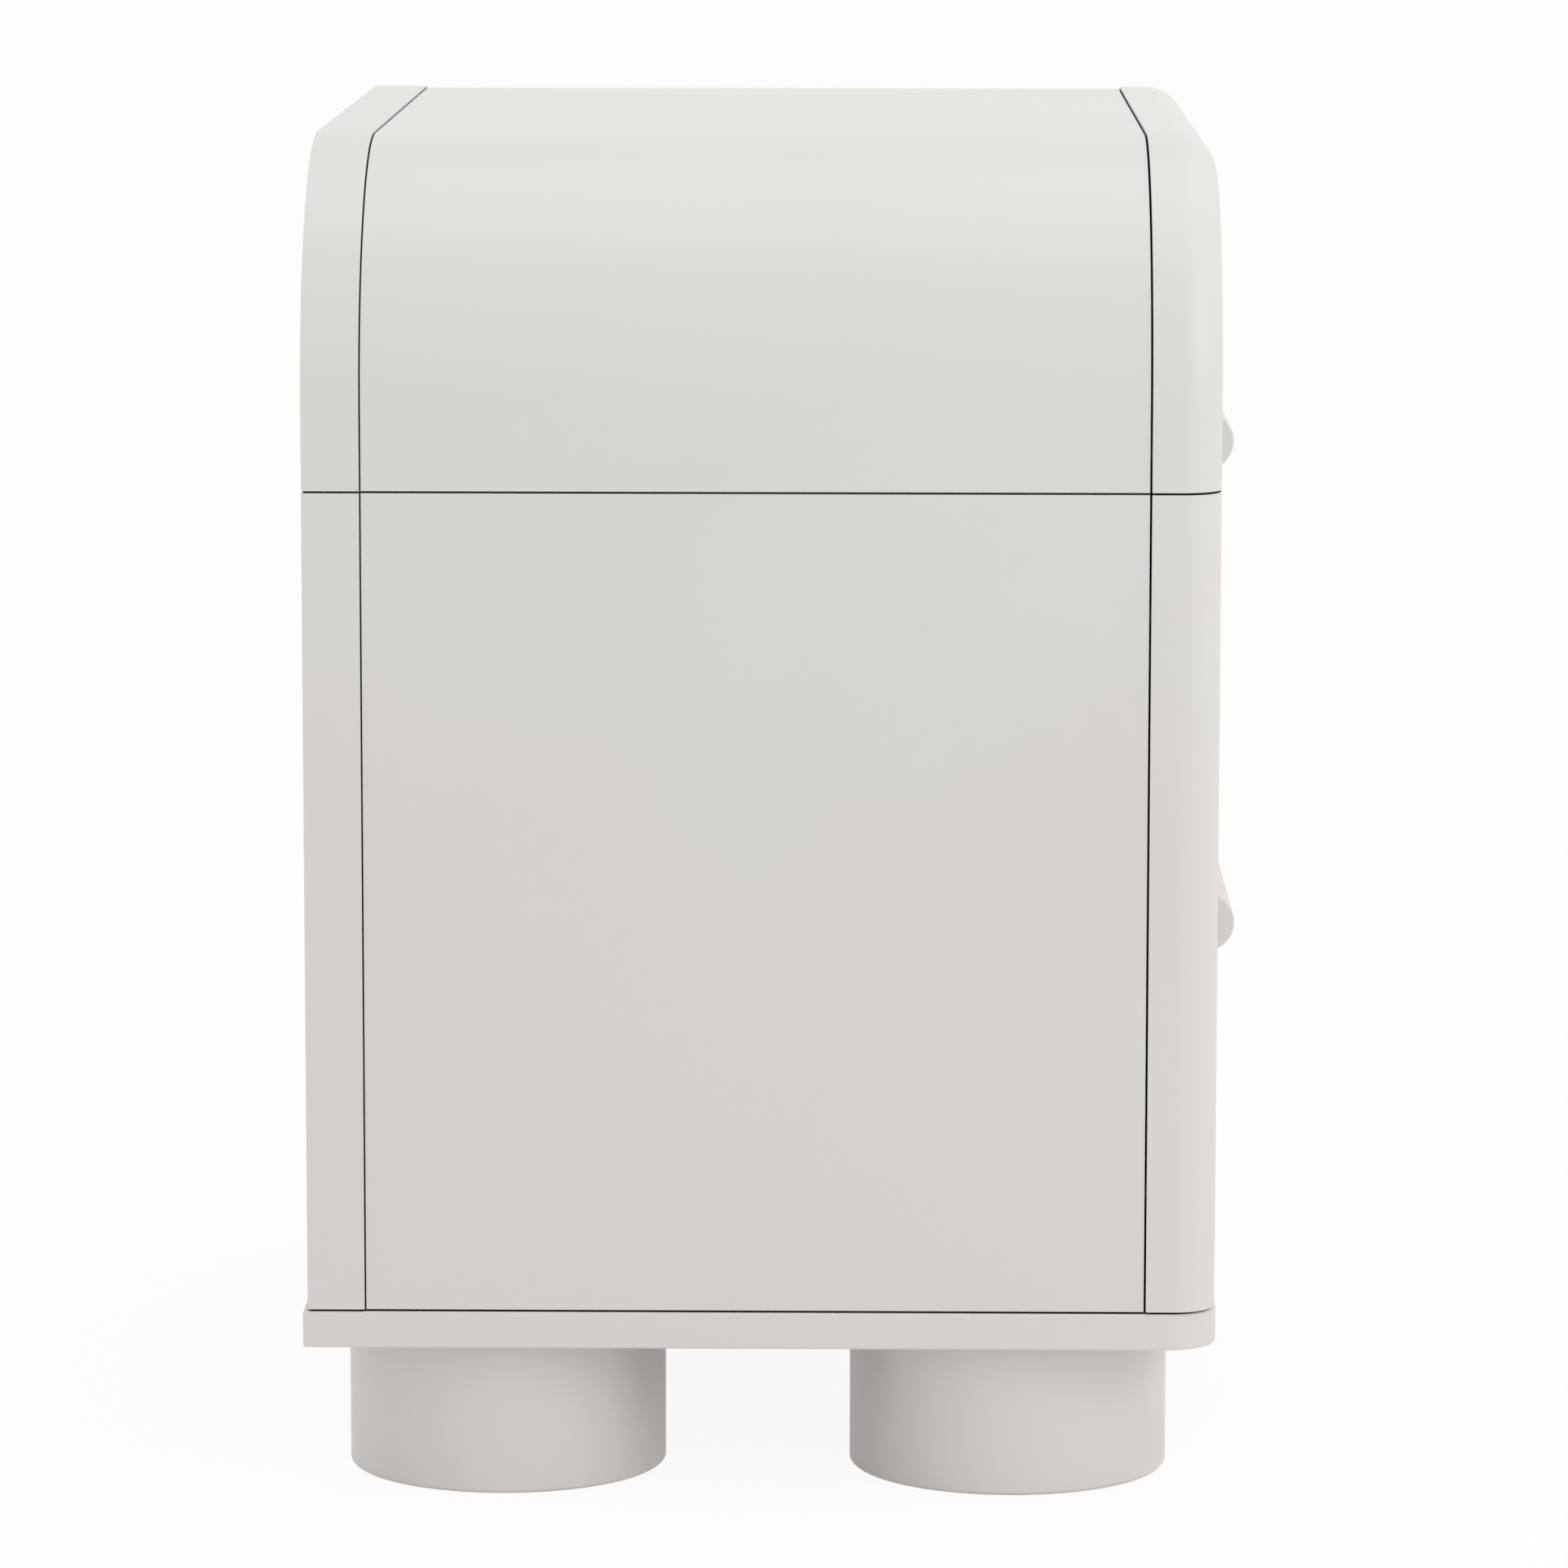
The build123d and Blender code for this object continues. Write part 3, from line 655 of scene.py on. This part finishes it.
# Edges eased by hand with fine paper, as radii by finish
easedEdges = {
    "lacquered_board": 0.24 * mm,  # under half of the narrowest ledge, so that no two meet
    "lacquered_front": 0.3 * mm,
    "lacquered_foot": 0.6 * mm,
    "inner_board": 0.4 * mm,
    "back_hardboard": 0.4 * mm,
    "birch_plywood": 0.5 * mm,
    "zinc_steel": 0.35 * mm,
    "cage_steel": 0.15 * mm,
}
easing = {
    "weld": 0.01 * mm,
    "flatAngle": math.radians(0.5),  # faces closer than this are one face
    "cornerAngle": math.radians(30),  # edges sharper than this are eased
    "steps": 2,
}


def easeEdges(piece, radius):
    piece.data.attributes.remove(piece.data.attributes["custom_normal"])
    piece.data.shade_smooth()
    weld = piece.modifiers.new("joined faces", "WELD")
    weld.merge_threshold = easing["weld"]
    flat = piece.modifiers.new("whole faces", "DECIMATE")
    flat.decimate_type = "DISSOLVE"
    flat.angle_limit = easing["flatAngle"]
    ease = piece.modifiers.new("eased edges", "BEVEL")
    ease.width = radius
    ease.segments = easing["steps"]
    ease.limit_method = "ANGLE"
    ease.angle_limit = easing["cornerAngle"]
    ease.harden_normals = True


for name, node in nodes.items():
    slot = node.data.materials[0].name
    finish = finishes.get(slot) or birchBoards[name.split("_")[-1]]
    node.data.materials.clear()
    node.data.materials.append(finish)
    if slot in easedEdges:
        easeEdges(node, easedEdges[slot])
print("solids dressed")


# Screws and bolts, turned round with a driver recess, in place of the plain eight-sided ones
screwLooks = {
    "panel_screws": {"recess": "cross", "crown": 0.9},
    "slide_wall_screws": {"recess": "cross", "crown": 0.3},
    "upper_slide_screws": {"recess": "cross", "crown": 0.3},
    "lower_slide_screws": {"recess": "cross", "crown": 0.3},
    "upper_front_screws": {"recess": "cross", "crown": 0.7},
    "lower_front_screws": {"recess": "cross", "crown": 0.7},
    "upper_pull_screws": {"recess": "cross", "crown": 0.2},
    "lower_pull_screws": {"recess": "cross", "crown": 0.2},
    "frame_screws": {"recess": "hex", "crown": 0.1},
    "side_screws": {"recess": "hex", "crown": 0.1},
    "foot_bolts": {"recess": "hex", "crown": 0.1},
}
turning = {
    "steps": 24,  # points round a screw
    "sharpness": math.radians(35),  # edges sharper than this stay crisp
    "ease": 0.3 * mm,  # of the head's edges
    "easeShare": 0.25,  # of the head's height, where that is less
    "brimShare": 0.6,  # of the head's height under a full crown
    "crownCurve": ((0.93, 0.45), (0.8, 0.15), (0.62, 0)),  # shares of head and brim
    "recessMouth": 0.5,  # of the head
    "recessFloor": 0.4,
    "recessDepth": 0.55,  # of the head's height
    "crossWaist": 0.34,  # of the recess, between the arms of a cross
    "tip": 0.2,  # of the shank's radius
    "taper": 2,  # of the same, up from the tip
}
turnAngle = 2 * math.pi / turning["steps"]
recessShapes = {  # how far the recess reaches at each point of the round
    "cross": lambda i: 1.0 if i % 6 in (5, 0, 1) else turning["crossWaist"],
    "hex": lambda i: math.cos(math.pi / 6) / math.cos(i % 4 * turnAngle - math.pi / 6),
}


def screwPlaces(node):  # a screw's solid is a loose part of the node, wider at its head
    solid = bmesh.new()
    solid.from_mesh(nodes[node].data)
    bmesh.ops.remove_doubles(solid, verts=solid.verts, dist=easing["weld"])
    seen = set()
    places = []
    for start in solid.verts:
        if start in seen:
            continue
        seen.add(start)
        waiting = [start]
        points = []
        while waiting:
            vert = waiting.pop()
            points.append(vert.co.copy())
            near = {edge.other_vert(vert) for edge in vert.link_edges} - seen
            seen |= near
            waiting += near
        low = Vector(min(point[axis] for point in points) for axis in range(3))
        high = Vector(max(point[axis] for point in points) for axis in range(3))
        along = max(range(3), key=lambda axis: high[axis] - low[axis])
        middle = (low + high) / 2
        reach = {}  # radius at each level along the screw
        for point in points:
            off = point - middle
            off[along] = 0
            level = round(point[along], 6)
            reach[level] = max(reach.get(level, 0), off.length)
        levels = sorted(reach)
        up = 1 if reach[levels[-1]] > reach[levels[0]] else -1
        if up < 0:
            levels.reverse()
        outward = Vector((0, 0, 0))
        outward[along] = up
        middle[along] = levels[-1]
        turn = outward.to_track_quat("Z", "Y").to_matrix().to_4x4()
        places.append(
            {
                "matrix": Matrix.Translation(middle) @ turn,
                "head": reach[levels[-1]],
                "shank": reach[levels[0]],
                "headHeight": abs(levels[-1] - levels[-2]),
                "length": abs(levels[-1] - levels[0]),
            }
        )
    solid.free()
    return places


def turnScrews(node, look):
    metal = bmesh.new()
    shape = recessShapes[look["recess"]]
    for place in screwPlaces(node):
        head, shank, height = place["head"], place["shank"], place["headHeight"]
        length = place["length"]
        ease = min(turning["easeShare"] * height, turning["ease"])
        brim = -max(look["crown"] * height * turning["brimShare"], ease)
        rings = [  # radius, level and whether the ring has the outline of the recess
            (turning["tip"] * shank, -length, False),
            (shank, -length + turning["taper"] * shank, False),
            (shank, -height, False),
            (head - ease, -height, False),
            (head, -height + ease, False),
            (head, brim, False),
            *((wide * head, brim * drop, False) for wide, drop in turning["crownCurve"]),
            (turning["recessMouth"] * head, 0, True),
            (turning["recessFloor"] * head, -turning["recessDepth"] * height, True),
        ]
        loops = []
        for radius, level, cut in rings:
            loop = []
            for i in range(turning["steps"]):
                angle = i * turnAngle
                reach = radius * (shape(i) if cut else 1)
                spot = Vector((reach * math.cos(angle), reach * math.sin(angle), level))
                loop.append(metal.verts.new(place["matrix"] @ spot))
            loops.append(loop)
        for lower, upper in zip(loops, loops[1:]):
            for i in range(turning["steps"]):
                metal.faces.new((lower[i - 1], lower[i], upper[i], upper[i - 1]))
        metal.faces.new(loops[-1])
        metal.faces.new(list(reversed(loops[0])))
    bmesh.ops.recalc_face_normals(metal, faces=metal.faces)
    mesh = bpy.data.meshes.new(node + "_turned")
    metal.to_mesh(mesh)
    metal.free()
    mesh.shade_smooth()
    mesh.set_sharp_from_angle(angle=turning["sharpness"])
    mesh.materials.append(finishes["screw_steel"])
    piece = bpy.data.objects.new(node + "_turned", mesh)
    scene.collection.objects.link(piece)
    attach(piece, nodes[node]["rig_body"])
    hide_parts(node)


for node, look in screwLooks.items():
    turnScrews(node, look)
print("screws turned:", len(screwLooks), "sets")


# Felt dots behind the drawer fronts, which close softly against the edges of the carcass
bumperLook = {
    "radius": 4.5 * mm,
    "thickness": 0.8 * mm,
    "curve": ((1, 0), (1, 0.55), (0.94, 0.85), (0.8, 1)),  # shares of radius and thickness
    "inset": 60 * mm,  # from the top and the bottom of the lower front
    "upperInset": 20 * mm,  # from the bottom of the upper front
    "steps": 32,
    "sharpness": math.radians(40),
}


def bumperPlaces(drawer, look):  # on the line of the wall's or the top's middle
    low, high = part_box(drawer + "_drawer_front")
    wallLow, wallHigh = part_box("lower_right_side")
    wall = (wallLow[0] + wallHigh[0]) / 2
    if drawer == "lower":
        spots = [(wall, z) for z in (low[2] + look["inset"], high[2] - look["inset"])]
    else:
        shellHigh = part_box("hood_shell")[1]
        roof = shellHigh[2] - (shellHigh[0] - wall)
        spots = [(wall, low[2] + look["upperInset"]), (wall / 2, roof)]
    return [Vector((side * x, high[1], z)) for x, z in spots for side in (-1, 1)]


def stickBumpers(drawer, look):
    felt = bmesh.new()
    turns = [2 * math.pi * i / look["steps"] for i in range(look["steps"])]
    for spot in bumperPlaces(drawer, look):
        loops = []
        for wide, thick in look["curve"]:
            radius = wide * look["radius"]
            height = thick * look["thickness"]
            points = [Vector((radius * math.cos(t), height, radius * math.sin(t))) for t in turns]
            loops.append([felt.verts.new(spot + point) for point in points])
        for lower, upper in zip(loops, loops[1:]):
            for i in range(look["steps"]):
                felt.faces.new((lower[i], lower[i - 1], upper[i - 1], upper[i]))
        felt.faces.new(loops[0])
        felt.faces.new(loops[-1])
    bmesh.ops.recalc_face_normals(felt, faces=felt.faces)
    mesh = bpy.data.meshes.new(drawer + "_bumpers")
    felt.to_mesh(mesh)
    felt.free()
    mesh.shade_smooth()
    mesh.set_sharp_from_angle(angle=look["sharpness"])
    mesh.materials.append(finishes["wool_felt"])
    piece = bpy.data.objects.new(drawer + "_bumpers", mesh)
    scene.collection.objects.link(piece)
    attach(piece, drawer + "_drawer")


for drawer in ("upper", "lower"):
    stickBumpers(drawer, bumperLook)
print("felt dots stuck behind both drawer fronts")


# Camera at the photograph's place: beside the left side, a little above the top
cameraLook = {
    "place": (-4000 * mm, -57.4 * mm, 902.5 * mm),
    "yaw": 0.01374,
    "pitch": 0.14566,  # down
    "roll": 0.001,
    "focal": 9219,  # in pixels of the photograph
    "frameWidth": 1932,
    "sensor": 36,
    "clip": (0.05, 200),
}


def setCamera(look):
    data = bpy.data.cameras.new("camera")
    camera = bpy.data.objects.new("camera", data)
    scene.collection.objects.link(camera)
    data.sensor_width = look["sensor"]
    data.lens = look["focal"] / look["frameWidth"] * look["sensor"]
    data.clip_start, data.clip_end = look["clip"]
    forward = Vector((math.cos(look["yaw"]), math.sin(look["yaw"]), 0)) * math.cos(look["pitch"])
    forward.z = -math.sin(look["pitch"])
    turn = forward.to_track_quat("-Z", "Y").to_matrix() @ Matrix.Rotation(look["roll"], 3, "Z")
    camera.matrix_world = Matrix.Translation(look["place"]) @ turn.to_4x4()
    scene.camera = camera


setCamera(cameraLook)

# White paper floor and pale sky, with two soft boxes: one above, one off the front left corner
studioLook = {
    "paper": "#FAF9F8",
    "paperRoughness": 0.9,
    "floorSize": 44.0,
    "floorGlow": 0.92,  # share of plain white that the camera sees in the floor
    "skyLevel": 0.745,
    "aim": (0, 0, 0.35),
    "lamps": {
        "corner softbox": {"place": (-2.3, -2.9, 2.0), "size": (2.4, 2.4), "power": 34.5},
        "top softbox": {"place": (0, -0.3, 3.6), "size": (3.0, 3.0), "power": 24},
    },
}
white = (1, 1, 1, 1)


def seenRays(tree):  # rays that show the background: straight, mirrored or through glass
    path = addNode(tree, "ShaderNodeLightPath", {}, {})
    seen = path.outputs["Is Camera Ray"]
    for ray in ("Is Glossy Ray", "Is Transmission Ray"):
        seen = addNode(
            tree, "ShaderNodeMath", {"operation": "MAXIMUM"}, {0: seen, 1: path.outputs[ray]}
        ).outputs["Value"]
    return seen


def setSky(look):
    world = bpy.data.worlds.new("soft studio")
    world.use_nodes = True
    scene.world = world
    tree = world.node_tree
    level = addNode(
        tree,
        "ShaderNodeMapRange",
        {},
        {"Value": seenRays(tree), "To Min": look["skyLevel"], "To Max": 1.0},
    )
    sky = tree.nodes["Background"]
    sky.inputs["Color"].default_value = white
    tree.links.new(level.outputs["Result"], sky.inputs["Strength"])


def layFloor(look):
    half = look["floorSize"] / 2
    corners = [(-half, -half, 0), (half, -half, 0), (half, half, 0), (-half, half, 0)]
    mesh = bpy.data.meshes.new("floor")
    mesh.from_pydata(corners, [], [(0, 1, 2, 3)])
    floor = bpy.data.objects.new("floor", mesh)
    scene.collection.objects.link(floor)
    paper, tree, shader = startFinish("white background paper")[:3]
    shader.inputs["Base Color"].default_value = hexColor(look["paper"])
    shader.inputs["Roughness"].default_value = look["paperRoughness"]
    share = addNode(
        tree, "ShaderNodeMath", {"operation": "MULTIPLY"}, {0: seenRays(tree), 1: look["floorGlow"]}
    )
    glow = addNode(tree, "ShaderNodeEmission", {}, {"Color": white, "Strength": 1.0})
    mix = addNode(
        tree,
        "ShaderNodeMixShader",
        {},
        {0: share.outputs["Value"], 1: shader.outputs["BSDF"], 2: glow.outputs["Emission"]},
    )
    tree.links.new(mix.outputs["Shader"], tree.nodes["Material Output"].inputs["Surface"])
    mesh.materials.append(paper)


def hangLamps(look):
    aim = Vector(look["aim"])
    for name, lamp in look["lamps"].items():
        data = bpy.data.lights.new(name, "AREA")
        data.shape = "RECTANGLE"
        data.size, data.size_y = lamp["size"]
        data.energy = lamp["power"]
        box = bpy.data.objects.new(name, data)
        box.location = lamp["place"]
        box.rotation_euler = (aim - box.location).to_track_quat("-Z", "Y").to_euler()
        scene.collection.objects.link(box)


setSky(studioLook)
layFloor(studioLook)
hangLamps(studioLook)
scene.view_settings.view_transform = "Standard"
print("camera and studio set")
